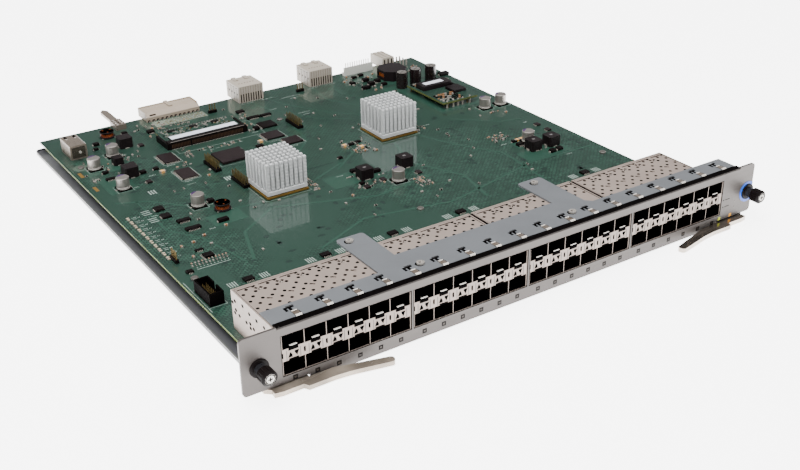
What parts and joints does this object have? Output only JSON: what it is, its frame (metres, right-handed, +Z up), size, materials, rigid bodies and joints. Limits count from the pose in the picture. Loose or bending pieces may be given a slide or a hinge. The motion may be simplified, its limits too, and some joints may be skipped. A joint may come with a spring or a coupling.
{
  "type": "switch line card",
  "caption": "Plug-in network switch line card with a sheet tray, circuit board, stacked transceiver port cages, pin-fin heat sinks, ejector levers and captive screws.",
  "frame": {"origin": "centre of the tray's underside, on the board's centre line", "axes": "+X along the front panel to the right seen from the front, +Y from the panel to the rear connectors, +Z up"},
  "size_m": [0.4082, 0.4651, 0.0414],
  "materials": {
    "painted_grey_sheet": "satin",
    "panel_sheet": "satin",
    "board_laminate": "gloss",
    "nickel_sheet": "satin",
    "stiffener_steel": "satin",
    "steel_parts": "satin",
    "finger_bronze": "satin",
    "black_foam": "matte",
    "black_plastic": "satin",
    "black_coated": "satin",
    "lamp_plastic": "gloss",
    "lever_chrome": "polished",
    "blue_paint": "gloss",
    "gold_laminate": "gloss",
    "sink_aluminium": "satin",
    "can_aluminium": "satin",
    "dark_ferrite": "satin",
    "copper_wire": "satin",
    "brass_pins": "satin",
    "guide_nickel": "satin",
    "tan_plastic": "satin",
    "white_plastic": "satin"
  },
  "bodies": {
    "chassis": {"bare_chip": "black_plastic", "block_coils": "dark_ferrite", "board_screws": "steel_parts", "box_header": "black_plastic", "cage_covers": "nickel_sheet", "cage_tubs": "nickel_sheet", "can_feet": "black_plastic", "carrier_tray": "painted_grey_sheet", "chip_lids": "black_plastic", "chip_substrates": "gold_laminate", "choke_core": "dark_ferrite", "coil_windings": "copper_wire", "converter_board": "board_laminate", "converter_core": "dark_ferrite", "converter_pins": "brass_pins", "drum_coils": "dark_ferrite", "front_panel": "panel_sheet", "guide_blade": "guide_nickel", "guide_box": "guide_nickel", "header_bases": "black_plastic", "heat_sinks": "sink_aluminium", "leaded_chips": "black_plastic", "lever_brackets": "black_coated", "lever_pins": "steel_parts", "main_board": "board_laminate", "marker_ring": "blue_paint", "memory_module": "board_laminate", "module_socket": "black_plastic", "panel_gasket": "black_foam", "pin_strip": "white_plastic", "port_channels": "nickel_sheet", "port_connectors": "black_plastic", "port_dividers": "nickel_sheet", "power_connector": "tan_plastic", "screw_bezels": "black_plastic", "screw_ferrules": "steel_parts", "small_chips": "black_plastic", "spring_fingers": "finger_bronze", "stack_connectors": "tan_plastic", "standoffs": "steel_parts", "status_lamps": "lamp_plastic", "stiffener": "stiffener_steel", "stiffener_posts": "steel_parts", "stiffener_screws": "steel_parts", "surface_cans": "can_aluminium", "tall_cans": "black_plastic", "tan_connector": "tan_plastic"},
    "lever_left": {"lever_left": "lever_chrome"},
    "lever_right": {"lever_right": "lever_chrome"},
    "slide_left": {"retaining_ring_left": "steel_parts"},
    "slide_right": {"retaining_ring_right": "steel_parts"},
    "spin_left": {"captive_screw_left": "steel_parts", "captive_knob_left": "black_coated"},
    "spin_right": {"captive_screw_right": "steel_parts", "captive_knob_right": "black_coated"}
  },
  "joints": [
    {"name": "left_lever_hinge", "type": "hinge", "parent": "chassis", "child": "lever_left", "pos_m": [-0.1845, -0.202, 0.0019], "axis": [0, 0, 1], "range_deg": [-35, 0]},
    {"name": "right_lever_hinge", "type": "hinge", "parent": "chassis", "child": "lever_right", "pos_m": [0.1834, -0.202, 0.0019], "axis": [0, 0, 1], "range_deg": [0, 35]},
    {"name": "left_screw_travel", "type": "slide", "parent": "chassis", "child": "slide_left", "axis": [0, 1, 0], "range_m": [0, 0.004]},
    {"name": "left_screw_turn", "type": "hinge", "parent": "slide_left", "child": "spin_left", "pos_m": [-0.1974, -0.2082, 0.0203], "axis": [0, 1, 0], "continuous": true},
    {"name": "right_screw_travel", "type": "slide", "parent": "chassis", "child": "slide_right", "axis": [0, 1, 0], "range_m": [0, 0.004]},
    {"name": "right_screw_turn", "type": "hinge", "parent": "slide_right", "child": "spin_right", "pos_m": [0.194, -0.2082, 0.0203], "axis": [0, 1, 0], "continuous": true}
  ]
}
